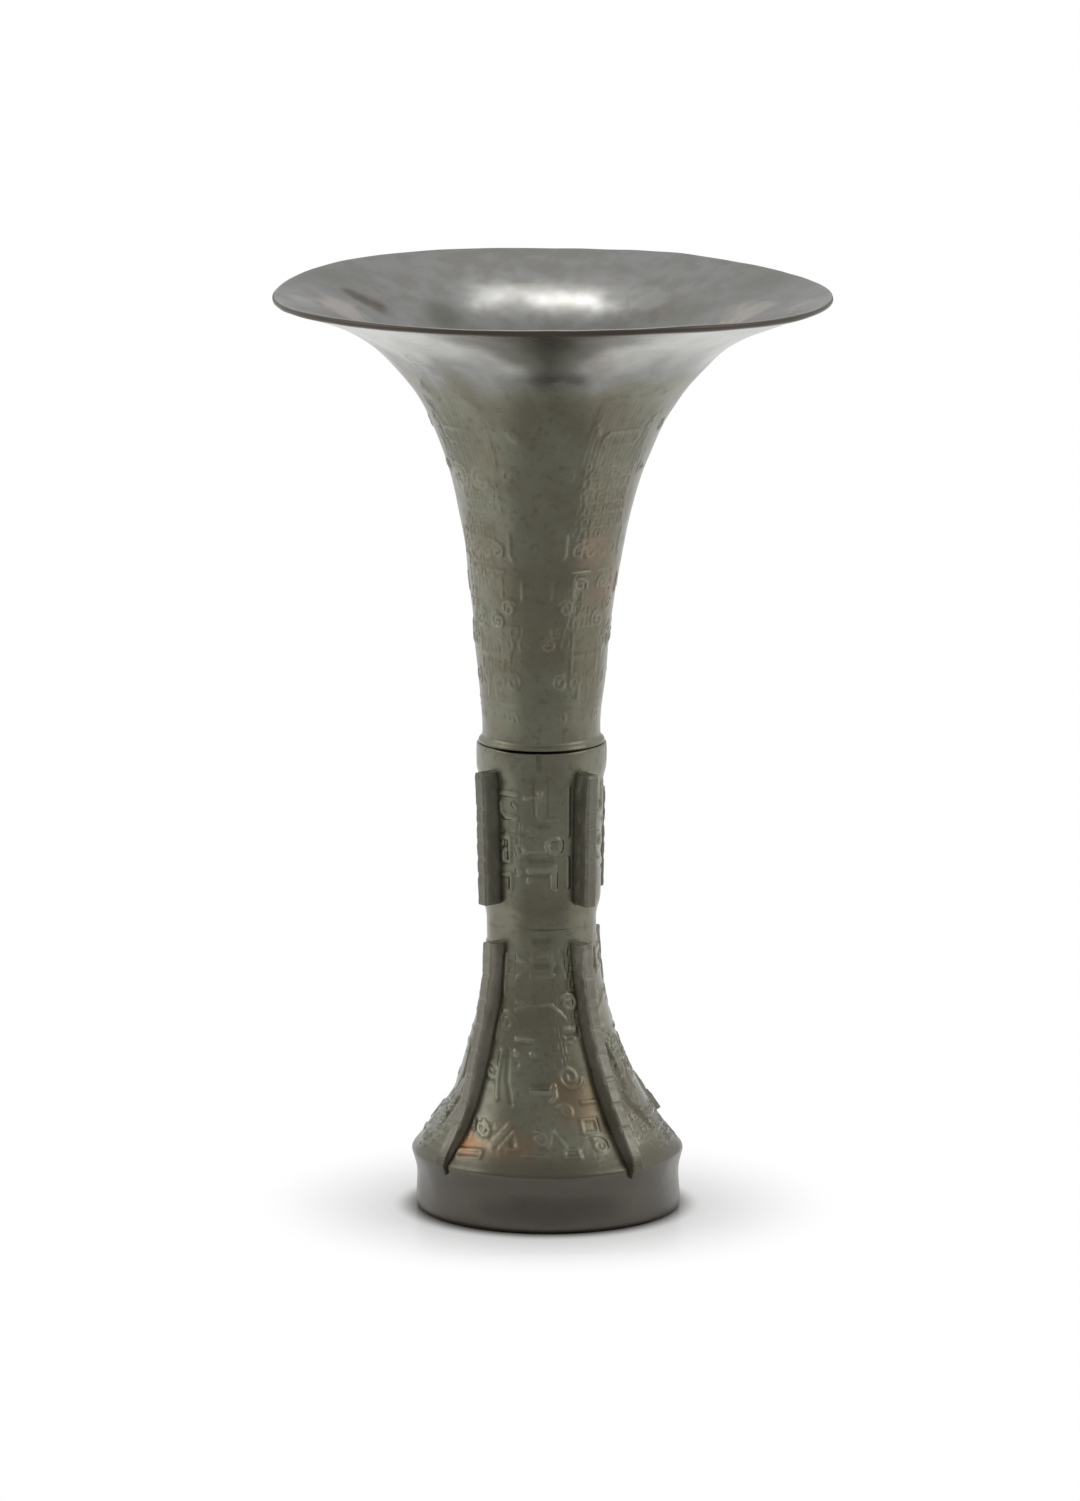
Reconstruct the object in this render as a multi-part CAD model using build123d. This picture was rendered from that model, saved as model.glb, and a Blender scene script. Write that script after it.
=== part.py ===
from build123d import *

import math
import os

# A bronze gu: a tall vessel with a trumpet mouth, made in three cast sections.
# The neck drops into the collar of the middle section, which drops into the top of the hollow foot.
# A disc closes the bottom of the cup, and solder seals the three seams.
# Notched flanges stand in grooves, four round the middle section and four down the foot.
# Frame: +Z up, origin on the floor at the centre of the foot ring. Millimetres and degrees.

# Heights of the three sections, from the floor up
foot_height = 85.0
middle_height = 52.6
neck_height = 132.4

# Bore of the cup, shared by the neck and the middle section
bore_radius = 14.5

# Neck: one curve outside, nearly upright at the throat and nearly level at the lip, over a small skirt
rim_radius = 80.5
lip_wall = 1.8
lip_slope = 16.3
lip_sweep = 54.8
throat_wall = 2.6
throat_lean = 4.4
throat_sweep = 71.0
skirt_flare = 1.2
skirt_rise = 2.4
seam_chamfer = 0.4

# Spigot under the neck, in the collar's socket
neck_spigot_length = 6.0
neck_spigot_wall = 1.7
neck_spigot_chamfer = 1.0
spigot_end_gap = 0.3

# Middle section: collar, nearly straight body and narrow waist
collar_wall = 2.55
collar_band = 5.5
collar_fall = 6.5
collar_round = 0.5
body_top_wall = 3.4
body_bottom_wall = 2.7
waist_radius = 15.8
waist_rise = 9.0

# Spigot under the middle section, in the top of the foot
foot_neck_wall = 2.4
foot_spigot_length = 8.0
foot_spigot_wall = 2.0

# Disc at the bottom of the cup, on a ledge above the waist
floor_thickness = 3.0
floor_seat_width = 2.9
floor_seat_thickness = 1.6

# Foot: flared skirt, a ledge round its lower edge and a plain ring under it
ledge_radius = 39.7
ledge_height = 17.4
ledge_slope = 49.3
ledge_sweep = 12.4
ledge_round = 1.0
ledge_step = 1.3
ledge_fall = 4.4
waist_sweep = 34.6
foot_wall = 2.6
ring_wall = 3.2
ring_round = 0.5

# Flanges: tongues in grooves, with notched outer edges
flange_count = 4
flange_first_angle = 45.0
flange_thickness = 4.0
tongue_depth = 1.0
notch_width = 1.3
notch_depth = 1.4

# Flanges of the middle section
middle_flange_top_stand = 5.6
middle_flange_bottom_stand = 5.2
middle_flange_lift = 7.0
middle_flange_drop = 6.6
middle_flange_chamfer = 1.5
middle_notch_pitch = 5.0
middle_end_tooth = 8.0

# Flanges of the foot
foot_flange_drop = 4.5
foot_flange_top_stand = 4.8
foot_flange_bottom_stand = 4.8
foot_flange_overhang = 2.6
foot_flange_heel = 2.5
foot_notch_pitch = 7.5
foot_end_tooth = 7.0

# Solder and fits
solder_leg = 1.3
solder_room = 3.0
joint_clearance = 0.05

# Heights and radii that follow from the sizes above
collar_top = foot_height + middle_height
vessel_height = collar_top + neck_height
throat_radius = bore_radius + throat_wall
skirt_radius = throat_radius + skirt_flare
neck_spigot_radius = bore_radius + neck_spigot_wall
neck_spigot_end = collar_top - neck_spigot_length
neck_socket_radius = neck_spigot_radius + joint_clearance
neck_socket_floor = neck_spigot_end - spigot_end_gap
collar_radius = neck_socket_radius + collar_wall
body_top_radius = bore_radius + body_top_wall
body_bottom_radius = bore_radius + body_bottom_wall
foot_socket_radius = waist_radius - foot_neck_wall
foot_spigot_radius = foot_socket_radius - joint_clearance
foot_spigot_bore = foot_spigot_radius - foot_spigot_wall
foot_spigot_end = foot_height - foot_spigot_length
floor_seat_bore = bore_radius - floor_seat_width
floor_seat_bottom = foot_height + waist_rise
floor_bottom = floor_seat_bottom + floor_seat_thickness
floor_top = floor_bottom + floor_thickness
ring_radius = ledge_radius - ledge_step
ring_height = ledge_height - ledge_fall
ring_bore = ring_radius - ring_wall

CURVE_POINTS = 9
BISECTIONS = 40


def at(radius, height):
    """Point of an outline, in the upright half plane that is turned about the axis."""
    return Vector(radius, 0, height)


def toward(angle, length):
    """Step of an outline, at an angle above level."""
    return at(length * math.cos(math.radians(angle)), length * math.sin(math.radians(angle)))


def beside(curve, place, distance):
    """Point beside a curve, on the left of its direction of travel."""
    along = curve % place
    return (curve @ place) + at(-along.Z, along.X) * distance


def parallel(curve, start, end, start_distance, end_distance):
    """Curve beside part of another, at a distance that changes evenly along it."""
    points = []
    for step in range(CURVE_POINTS):
        share = step / (CURVE_POINTS - 1)
        place = start + share * (end - start)
        points.append(beside(curve, place, start_distance + share * (end_distance - start_distance)))
    return Spline(*points, tangents=[curve % start, curve % end])


def place_where(measure, value):
    """Place along a curve, from 0 to 1, where a falling measure passes a value."""
    low, high = 0.0, 1.0
    for _ in range(BISECTIONS):
        middle = (low + high) / 2
        if measure(middle) > value:
            low = middle
        else:
            high = middle
    return (low + high) / 2


def path(*points):
    """Straight edges through points."""
    return Polyline(*points).edges()


def turned(*edges):
    """Solid turned about the axis from a closed outline."""
    return revolve(make_face([*edges]), Axis.Z)


def drum(radius, bottom, top):
    """Upright cylinder on the axis."""
    return Pos(0, 0, bottom) * Cylinder(radius, top - bottom, align=(Align.CENTER, Align.CENTER, Align.MIN))


def solder_ring(radius, height, leg, rise):
    """Ring of solder in the corner between a bore and a level face, standing on the face or hanging from it."""
    corner = at(radius, height)
    return turned(*path(corner, at(radius - leg, height), at(radius, height + rise), corner))


def round_the_vessel(solid):
    """Copies of a solid at each flange's place round the axis."""
    angles = [flange_first_angle + 360 / flange_count * number for number in range(flange_count)]
    return [Rot(0, 0, angle) * solid for angle in angles]


def notches(edge, pitch, end_tooth):
    """Cutters spaced evenly along a flange's outer edge, with a longer tooth left at each end."""
    count = max(0, math.floor((edge.length - 2 * end_tooth) / pitch)) + 1
    cutters = []
    for number in range(count):
        along = edge.length / 2 + (number - (count - 1) / 2) * pitch
        place = along / edge.length
        way = edge % place
        spot = Plane(edge @ place, x_dir=at(-way.Z, way.X), z_dir=way)
        cutters.append(spot * Box(2 * notch_depth, 2 * flange_thickness, notch_width))
    return cutters


def upright_plate(edges, thickness):
    """Plate of even thickness, standing in the half plane of its outline."""
    return extrude(make_face([*edges]), thickness / 2, both=True)


# Outside curve of the neck, from the throat up to the round nose of the lip
nose = at(rim_radius - lip_wall / 2, vessel_height - lip_wall / 2)
lip_under = nose - toward(lip_slope + 90, lip_wall / 2)
lip_over = nose + toward(lip_slope + 90, lip_wall / 2)
skirt = at(skirt_radius, collar_top + seam_chamfer)
throat = skirt + at(throat_radius - skirt_radius, skirt_rise)
neck_curve = Bezier(
    throat,
    throat + toward(90 - throat_lean, throat_sweep),
    lip_under - toward(lip_slope, lip_sweep),
    lip_under,
)

# Outside curve of the foot, from the waist down to the edge of the ledge
waist = at(waist_radius, foot_height)
ledge = at(ledge_radius, ledge_height)
foot_curve = Bezier(
    waist,
    waist - at(0, waist_sweep),
    ledge - toward(-ledge_slope, ledge_sweep),
    ledge,
)


def make_neck():
    """Trumpet mouth and neck, with a spigot whose chamfered end leaves room for solder."""
    inside = parallel(neck_curve, 0, 1, throat_wall, lip_wall)
    lip = ThreePointArc(lip_under, nose + toward(lip_slope, lip_wall / 2), lip_over)
    bottom = path(
        inside @ 0,
        at(bore_radius, neck_spigot_end),
        at(neck_spigot_radius - neck_spigot_chamfer, neck_spigot_end),
        at(neck_spigot_radius, neck_spigot_end + neck_spigot_chamfer),
        at(neck_spigot_radius, collar_top),
        at(skirt_radius - seam_chamfer, collar_top),
        skirt,
    )
    half_rise = at(0, skirt_rise / 2)
    flare = Bezier(skirt, skirt + half_rise, throat - half_rise, throat)
    return turned(inside, *bottom, flare, neck_curve, lip)


def make_middle_section():
    """Collar, body and waist in one casting, with a socket above, a spigot below and grooves for flanges."""
    body_top = at(body_top_radius, collar_top - collar_band - collar_fall)
    body_bottom = at(body_bottom_radius, foot_height + waist_rise)
    collar_foot = at(collar_radius, collar_top - collar_band)
    half_fall = at(0, collar_fall / 2)
    half_rise = at(0, waist_rise / 2)
    shoulder = Bezier(collar_foot, collar_foot - half_fall, body_top + half_fall, body_top)
    narrowing = Bezier(body_bottom, body_bottom - half_rise, waist + half_rise, waist)
    rest = path(
        waist,
        at(foot_spigot_radius, foot_height),
        at(foot_spigot_radius, foot_spigot_end),
        at(foot_spigot_bore, foot_spigot_end),
        at(foot_spigot_bore, floor_seat_bottom),
        at(floor_seat_bore, floor_seat_bottom),
        at(floor_seat_bore, floor_bottom),
        at(bore_radius, floor_bottom),
        at(bore_radius, neck_socket_floor),
        at(neck_socket_radius, neck_socket_floor),
        at(neck_socket_radius, collar_top),
        at(collar_radius, collar_top),
        collar_foot,
    )
    casting = turned(*rest, shoulder, *path(body_top, body_bottom), narrowing)
    collar_edge = casting.edges().filter_by(GeomType.CIRCLE).group_by(Axis.Z)[-1].sort_by(SortBy.RADIUS)[-1]
    casting = fillet(collar_edge, collar_round)
    return casting - round_the_vessel(middle_plate(joint_clearance))


def make_foot():
    """Hollow flared foot with its ledge and ring, a socket in its top and grooves for flanges."""
    casting = turned(
        foot_curve,
        *path(ledge, at(ring_radius, ring_height), at(ring_radius, 0), at(0, 0), at(0, foot_height), waist),
    )
    socket_bottom = foot_spigot_end - solder_room
    inside = parallel(foot_curve, 0, 1, -foot_wall, -foot_wall)
    under = inside @ 1
    hollow = turned(
        inside,
        *path(under, at(under.X, -ring_height), at(0, -ring_height), at(0, foot_height), inside @ 0),
    )
    casting -= hollow & drum(ring_bore, -ring_height, socket_bottom)
    casting -= drum(foot_socket_radius, socket_bottom, foot_height)
    circles = casting.edges().filter_by(GeomType.CIRCLE)
    casting = fillet(circles.group_by(Axis.Z)[0], ring_round)
    ledge_edge = casting.edges().filter_by(GeomType.CIRCLE).sort_by(SortBy.RADIUS)[-1]
    casting = fillet(ledge_edge, ledge_round)
    return casting - round_the_vessel(foot_plate(joint_clearance))


def make_cup_floor():
    """Disc on its seat inside the middle section."""
    return drum(bore_radius - joint_clearance, floor_bottom, floor_top)


def middle_flange_edge():
    """Outer edge of a middle flange, from its foot up to its chamfered corner."""
    top = collar_top - middle_flange_drop - middle_flange_chamfer
    return Line(
        at(body_bottom_radius + middle_flange_bottom_stand, foot_height + middle_flange_lift),
        at(body_top_radius + middle_flange_top_stand, top),
    )


def middle_plate(ease):
    """Flange of the middle section without its notches, or its groove when given ease."""
    tongue = tongue_depth - joint_clearance + ease
    bottom = foot_height + middle_flange_lift - ease
    top = collar_top - middle_flange_drop + ease
    edge = middle_flange_edge()
    root = at(body_bottom_radius - tongue, bottom)
    outline = path(
        root,
        at((edge @ 0).X, bottom),
        edge @ 1,
        at((edge @ 1).X - middle_flange_chamfer, top),
        at(body_top_radius - tongue, top),
        root,
    )
    return upright_plate(outline, flange_thickness + 2 * ease)


def make_middle_flange():
    """Flange of the middle section, notched along its outer edge."""
    return middle_plate(0) - notches(middle_flange_edge(), middle_notch_pitch, middle_end_tooth)


def foot_flange_edges(ease):
    """Inner and outer edges of a foot flange, from its top down to its heel past the ledge."""
    top = place_where(lambda place: (foot_curve @ place).Z, foot_height - foot_flange_drop + ease)
    tongue = tongue_depth - joint_clearance + ease
    inner = parallel(foot_curve, top, 1, -tongue, -tongue)
    outer = parallel(foot_curve, top, 1, foot_flange_top_stand, foot_flange_bottom_stand)
    reach = ledge_radius + foot_flange_overhang
    end = place_where(lambda place: -(outer @ place).X, -reach)
    return inner, outer.trim(0, end)


def foot_plate(ease):
    """Flange of the foot without its notches, or its groove when given ease."""
    inner, outer = foot_flange_edges(ease)
    heel_height = ledge_height - foot_flange_heel - ease
    heel = path(outer @ 1, at((outer @ 1).X, heel_height), at((inner @ 1).X, heel_height), inner @ 1)
    outline = [inner, outer, Line(inner @ 0, outer @ 0), *heel]
    return upright_plate(outline, flange_thickness + 2 * ease)


def make_foot_flange():
    """Flange of the foot, notched along its outer edge."""
    _, outer = foot_flange_edges(0)
    return foot_plate(0) - notches(outer, foot_notch_pitch, foot_end_tooth)


neck_pocket = neck_spigot_chamfer + spigot_end_gap
pieces = {
    "neck": make_neck(),
    "middle_section": make_middle_section(),
    "foot": make_foot(),
    "cup_floor": make_cup_floor(),
    "neck_joint_solder": solder_ring(neck_socket_radius, neck_socket_floor, neck_pocket, neck_pocket),
    "cup_floor_solder": solder_ring(bore_radius, floor_top, solder_leg, solder_leg),
    "foot_joint_solder": solder_ring(foot_socket_radius, foot_spigot_end, solder_leg, -solder_leg),
}
for number, flange in enumerate(round_the_vessel(make_middle_flange()), start=1):
    pieces[f"middle_flange_{number}"] = flange
for number, flange in enumerate(round_the_vessel(make_foot_flange()), start=1):
    pieces[f"foot_flange_{number}"] = flange

os.makedirs("parts", exist_ok=True)
for name, piece in pieces.items():
    export_step(piece, f"parts/{name}.step")
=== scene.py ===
"""Looks of the bronze gu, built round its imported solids.

Shapes are worked out in millimetres and become metres when a mesh is made. Angles are in degrees
round the axis, from +X towards +Y. The camera faces the side at 275 degrees, between the flanges
at 225 and 315.
"""

import math

import bmesh
import bpy
import numpy as np
from mathutils import Matrix, Vector


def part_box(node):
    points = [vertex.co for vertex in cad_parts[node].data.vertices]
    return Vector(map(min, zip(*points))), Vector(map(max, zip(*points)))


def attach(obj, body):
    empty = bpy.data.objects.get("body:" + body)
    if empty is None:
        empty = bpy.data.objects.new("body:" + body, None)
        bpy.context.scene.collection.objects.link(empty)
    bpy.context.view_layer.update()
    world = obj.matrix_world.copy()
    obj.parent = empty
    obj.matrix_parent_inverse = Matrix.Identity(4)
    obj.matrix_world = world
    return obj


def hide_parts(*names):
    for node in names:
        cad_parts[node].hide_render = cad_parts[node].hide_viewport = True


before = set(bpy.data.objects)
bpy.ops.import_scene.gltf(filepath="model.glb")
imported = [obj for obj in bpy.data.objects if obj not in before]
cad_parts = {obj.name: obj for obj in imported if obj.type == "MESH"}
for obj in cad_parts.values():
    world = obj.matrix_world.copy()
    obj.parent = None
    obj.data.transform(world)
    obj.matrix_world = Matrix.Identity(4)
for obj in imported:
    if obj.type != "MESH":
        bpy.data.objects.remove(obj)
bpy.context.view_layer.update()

MM = 0.001
SEED = 11
WHITE = (1, 1, 1, 1)

# Metres within which points count as one, and the least square of a stroke's length
WELD = 1e-6
LEAST_SQUARE = 1e-9

# Camera, fitted to the ellipses of the rim and the foot ring
VIEW_AZIMUTH = 5.0
CAMERA_DISTANCE = 2779.0
CAMERA_HEIGHT = 684.0
CAMERA_TILT = 11.18
CAMERA_SIDESTEP = 1.9
FOCAL_PIXELS = 9784.0
PHOTO_HEIGHT = 1501.0
SENSOR = 36.0
FRONT_ANGLE = 270.0 + VIEW_AZIMUTH

# The old vessel is a little bent. Its mouth leans to the camera's right and droops at both ends,
# and the left end is twisted, low in front and high behind
BEND_CENTRE = 118.0
BEND_RATE = 0.00015
BEND_SHIFT = -1.6
RIM_TILT = 0.2
RIM_TILT_HEIGHTS = (215.0, 248.0)
RIGHT_DROOP = 1.7
RIGHT_DROOP_TURN = (0.36, 1.0)
RIGHT_DROOP_RADII = (52.0, 70.0)
LEFT_DROOP = 1.9
LEFT_DROOP_SHARPNESS = 6
LEFT_TWIST = 1.3
LEFT_DROOP_START = 52.0
DENT = 1.6
DENT_HEIGHT = 33.0
DENT_REACH = 9.0

# Random fields: size of a patch in millimetres, and seed
MOTTLE_WAVES = 24
FIELDS = {
    "neck_strokes": (18, 1),
    "neck_ground": (14, 2),
    "mask_strokes": (20, 3),
    "mask_ground": (15, 4),
    "skin": (16, 5),
    "flange_broad": (7, 6),
    "flange_fine": (2.5, 7),
    "bare_edge": (18, 8),
}

# Values of a field between which the relief goes from worn to whole
WEAR_RANGES = {
    "neck_strokes": (-0.6, 0.7),
    "neck_ground": (-0.4, 0.7),
    "mask_strokes": (-0.6, 0.6),
    "mask_ground": (0.0, 0.9),
}

# Meshes of the castings
CORNER_TURN = 40.0
FINE_STEP = 0.12
COLUMNS = {"neck": 340, "middle_section": 360, "foot": 432}
ORNAMENT_STEP = {"neck": 0.7, "middle_section": 0.4, "foot": 0.5}
ORNAMENT_FACING = 0.15
OUTSIDE_FACING = 0.1
LIP_STEP = 1.2
HIDDEN_STEP = 5.0
ORNAMENT_TOP = 262.0
TURN_PER_ROW = 0.3
LEAST_TURNING = 0.01
PLAIN_COLUMNS = 160

# Panels between the flanges, and masks, which take up two panels
PANEL_TURN = 90
MASK_TURN = 180
PANEL_HEIGHTS = {"middle_section": (94, 129), "foot": (18.6, 80)}
PANEL_FADE = 1.5

# Strokes of the relief
STROKE_EDGE = 0.5
STROKE_HEIGHT = 0.42
RECESS_DEPTH = 0.22
SIDE_DEPTH = 2.0
MASK_KEPT = 0.5
CURL_WIDTH = 1.1
CURL_POINTS = 14
CURL_LEAST_POINTS = 6
CURL_WINDING = 0.8
LEIWEN_TILE = 4.6
LEIWEN_TURNS = 1.5
LEIWEN_STROKE = (0.12, 0.34)
LEIWEN_HEIGHT = 0.16
EYE_RADIUS = 2.1
EYE_RING_EDGE = (0.35, 0.95)
EYE_RING_RISE = 1.2
PUPIL_EDGE = (0.5, 1.2)
PUPIL_FALL = 0.5

# Blades of the neck. The angles at which hatching starts are given by a first one, an end and a step
NECK_STROKE_HEIGHT = 0.34
NECK_CURL_WIDTH = 0.85
NECK_LEIWEN_TILE = 3.8
NECK_LEIWEN_HEIGHT = 0.22
NECK_WORN_BELOW = (140.0, 175.0)
NECK_KEPT = 0.55
NECK_BOTTOM_KEPT = 0.85
BLADE_FADE = 3.0
TIP_START = (221.0, 229.0)
TIP_END = (246.0, 254.0)
HATCH_STARTS = (1.4, 21.0, 2.8)
HATCH_BOTTOM = 222.0
HATCH_TOP = 250.0
HATCH_TOP_FALL = 0.35
HATCH_LEAN = 0.8
HATCH_WIDTH = 0.6
HATCH_HEIGHT = 0.15
HATCH_DEPTH = 0.06

# Skin of the castings, and wear at their edges. The rounded base edge and the collar's shallow groove also
# lower the relief, which darkens the colour there as painted shade
SKIN_UNEVENNESS = 0.12
EVEN_BASE_HEIGHTS = (0.0, 4.0)
MOUTH_EVENNESS = 0.5
MOUTH_HEIGHTS = (245.0, 264.0)
# Rounding of the base edge; the lowered relief there also darkens the colour as painted contact shade
BASE_ROUNDING = 1.2
CREVICE_DEPTH = 0.06
CREVICE_WIDTH = 0.4
CREVICE_RUN_OUT = 0.8
# Shallow groove under the collar's top edge, deepest facing front and back; its lowered relief also darkens
# the colour as painted seam shade
COLLAR_GROOVE_AND_SHADE = 0.16
COLLAR_GROOVE_BAND = 0.9
COLLAR_SHADE_FACING = (-0.3, 0.8)

# Bared metal of the flare: heights outside, and the share inside
BARE_OUTSIDE = (241.0, 263.0)
BARE_INSIDE = 0.5
BARE_WANDER = 2.0

# Dark edge of the lip: distances in from the rim, and how far down it faces
LIP_DARK = (1.9, 0.9)
LIP_FACING = (-0.97, -0.8)

# Flanges
FLANGE_VOXEL = 0.35
FLANGE_SMOOTHING = 3
FLANGE_SMOOTH_FACTOR = 0.5
FLANGE_TAPER = 0.2
FLANGE_UNEVENNESS = 0.05
FLANGE_FINE_SHARE = 0.5
EDGE_WEAR = 5.0
EDGE_WEAR_MOST = 0.3
NOTCH_SPAN = 1.5
LEVELS_PER_SPAN = 3
NOTCH_FILL = 0.8
NOTCH_FILL_DEPTH = (1.9, 3.0)
ROOT_COVER = 0.6
# Painted shade on the flanges' side walls: share by place, depth below the edge over which it comes in, and
# the share of it that fades deeper down the wall
SIDE_PAINTED_SHADE = {"middle": 0.26, "foot": 0.08}
SIDE_PAINTED_SHADE_DEPTH = (0.4, 1.0)
SIDE_SHADE_FADE_SHARE = 0.6
SIDE_SHADE_FADE_DEPTH = (2.5, 5.5)
# Painted shade on the flanges' low ends, and the heights over which it fades out
HEEL_PAINTED_SHADE = 0.4
HEEL_SHADE_HEIGHTS = (17.0, 22.5)

# Share of its stand that a flange keeps, by height
WHOLE_FLANGE = [(0.0, 1.0)]
flange_wear = {
    "middle_flange_1": [(121.5, 1.0), (124.0, 0.0)],
    "foot_flange_1": [
        (20.5, 0.0), (22.5, 1.2), (27.0, 1.2), (33.0, 1.0), (44.0, 0.8), (58.0, 0.85), (72.0, 1.0),
    ],
    "foot_flange_2": [(15.0, 0.55), (22.0, 0.8), (32.0, 1.0)],
    "foot_flange_3": [(15.0, 0.38), (22.0, 0.5), (32.0, 0.68), (46.0, 0.92), (60.0, 1.0)],
    "foot_flange_4": [(15.0, 0.55), (22.0, 0.8), (32.0, 1.0)],
}

# Colours of the metal, as screen levels. Two colours are the ends of a mottled mix
BRONZES = {
    "patinated_bronze": ((107, 103, 86), (121, 121, 104)),
    "middle_flange_bronze": ((95, 92, 78), (106, 105, 91)),
    "foot_flange_bronze": ((114, 110, 97), (128, 125, 112)),
    "stained_bronze": ((80, 75, 60), (104, 100, 84)),
}
DULL_METAL = ((137, 137, 135), (126, 125, 121))
BRIGHT_METAL = ((174, 174, 169), (162, 161, 154))
RING_METAL = ((78, 74, 66), (90, 86, 79))
LIP_METAL = ((54, 48, 42), (78, 66, 56))
SOLDER_METAL = ((112, 112, 106), (78, 76, 68))
FLECK = (94, 87, 71)
RUST = (124, 104, 84)
BORDER = (94, 90, 76)
# Darker colour for grime in hollows and for painted shade
GRIME_AND_SHADE_COLOUR = (76, 72, 58)
RUBBED = (146, 144, 126)

# Noise of the bronze: patches in a metre, and detail
BRONZE_NOISE = {
    "broad": (45.0, 4.0),
    "medium": (140.0, 5.0),
    "fine": (420.0, 4.0),
    "grain": (1500.0, 2.0),
    "rusty": (30.0, 6.0),
}

# Ramps of the bronze: from and to, and where given the share at each end. Heights are in metres
PATCHY = (0.35, 0.65)
FLECKED = (0.52, 0.72, 0.0, 0.5)
RUSTED = (0.60, 0.72, 0.0, 0.35)
DULLED = (0.0, 0.5)
BRIGHTENED = (0.5, 1.0)
IN_HOLLOWS_AND_SHADE = (-0.05, -0.35)
ON_RIDGES = (0.08, 0.38)
RUBBED_PATCHES = (0.3, 0.6, 0.25, 0.6)
RUBBED_HEIGHTS = (0.016, 0.026)
BORDER_HEIGHTS = (0.0260, 0.0205)
BORDER_RAGGEDNESS = 0.003
RING_HEIGHTS = (0.0180, 0.0155)

# Most darkening where the relief is low, from grime in hollows and from painted shade, metal in the flanges'
# skin, and darkness of the lip
CASTING_DIRT_AND_SHADE = 0.55
FLANGE_DIRT_AND_SHADE = 0.85
FLANGE_METALLIC = 0.6
LIP_SHARE = 0.9

# Gloss and pits: patinated skin, then bared metal
COAT_WEIGHTS = (0.45, 0.05)
ROUGHNESS = (0.35, 0.225)
ROUGHNESS_SPREAD = (0.35, 0.12)
PIT_SHARES = (1.0, 0.1)

# Gloss and pits of both. A mix is the shares of two noises
COAT_ROUGHNESS = 0.3
ROUGHNESS_MIX = (0.6, 0.4)
MIDDLE_NOISE = 0.5
DIRT_ROUGHNESS = 0.15
PIT_MIX = (0.7, 0.3)
PIT_STRENGTH = 0.2
PIT_DEPTH = 0.0004

# Solder
SOLDER_METALLIC = 0.8
SOLDER_BLOTCHES = 260.0
SOLDER_FROST = 1400.0
SOLDER_ROUGHNESS = (0.3, 0.7, 0.45, 0.65)
SOLDER_BUMP = 0.4
SOLDER_BUMP_DEPTH = 0.0005

# Stains: how ragged their edges are and where they fade, as shares of their reach
STAIN_WOBBLE = 1.4
STAIN_EDGE = (1.7, 0.9)

# Stains: place and reach in millimetres, share and colour
bronze_stains = [
    ((-22.6, -28.6, 22.5), 8.5, 0.85, (158, 114, 76)),
    ((10.8, -24.7, 36.0), 13.0, 0.5, (126, 105, 78)),
    ((18.4, -6.0, 183.0), 13.0, 0.6, (124, 102, 82)),
    ((14.0, -17.3, 197.0), 9.0, 0.45, (132, 106, 86)),
    ((-59.0, 4.0, 262.5), 12.0, 0.85, (186, 177, 169)),
    ((-70.6, -4.0, 266.5), 7.0, 0.6, (182, 178, 172)),
    ((55.6, 20.0, 261.0), 12.0, 0.8, (186, 180, 169)),
    ((72.5, 4.4, 265.0), 8.0, 0.5, (172, 168, 160)),
    ((25.9, 50.2, 259.9), 9.0, 0.3, (164, 164, 157)),
    ((-33.0, 36.0, 256.0), 9.0, 0.65, (92, 95, 82)),
    ((-58.6, 22.7, 264.1), 5.0, 0.9, (74, 64, 48)),
    ((-54.8, 22.8, 262.4), 5.0, 0.9, (74, 64, 48)),
    ((-51.0, 22.9, 260.7), 5.5, 0.9, (74, 64, 48)),
    ((-66.0, 30.0, 267.5), 12.0, 0.45, (112, 114, 104)),
    ((62.0, 44.0, 268.0), 14.0, 0.5, (113, 114, 99)),
    ((38.0, 38.0, 258.5), 9.0, 0.45, (114, 115, 98)),
    ((-23.0, -16.0, 236.0), 12.0, 0.4, (110, 117, 92)),
    ((-8.0, -34.0, 22.0), 13.0, 0.6, (126, 102, 78)),
    ((20.1, -23.8, 29.8), 5.0, 0.6, (88, 74, 60)),
    ((-31.0, -6.0, 27.0), 14.0, 0.7, (136, 138, 135)),
    ((28.0, -15.0, 230.0), 15.0, 0.5, (90, 88, 71)),
    ((23.0, -11.0, 208.0), 12.0, 0.45, (98, 91, 75)),
    ((-24.6, -19.3, 228.6), 12.0, 0.4, (94, 98, 78)),
]

# Ground, in metres: the floor round the foot keeps the vessel's shadow, has a painted contact shadow at the
# foot, and faintly mirrors the vessel
FLOOR_HALF = 7.0
FLOOR_COLOUR = (0.92, 0.92, 0.92, 1.0)
GROUND_PATCHES = 3.0
GROUND_LIFT = 1.02
SHADOW_REACH = (0.03, 0.089)
# Painted contact shadow round the foot: reach and colour
PAINTED_CONTACT_SHADOW_REACH = (0.0375, 0.0455)
PAINTED_CONTACT_SHADOW_COLOUR = (0.3, 0.28, 0.26, 1.0)
NEAR_GLOW = 0.3
SHEEN_REACH = (0.045, 0.085)
SHEEN = 0.15
SHEEN_ROUGHNESS = 0.22

# Dark sheet in front, with a tongue that comes near the foot, seen in the metal alone: a painted dark
# reflection
REFLECTION_SHEET_TURN = 8.0
REFLECTION_SHEET_HEIGHT = 0.0005
REFLECTION_SHEET_COLOUR = (0.58, 0.58, 0.58, 1.0)
REFLECTION_SHEET_HALF = [(0.1, -0.06), (0.2, -0.12), (0.36, -0.34), (1.6, -0.34), (1.6, -3.2)]

# Sky, from in front to behind: from and to, and the strength at each end
SKY_RISE = (-0.9, 0.8, 0.46, 0.92)
SKY_BACK = (0.65, 0.95, 1.0, 0.65)

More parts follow.
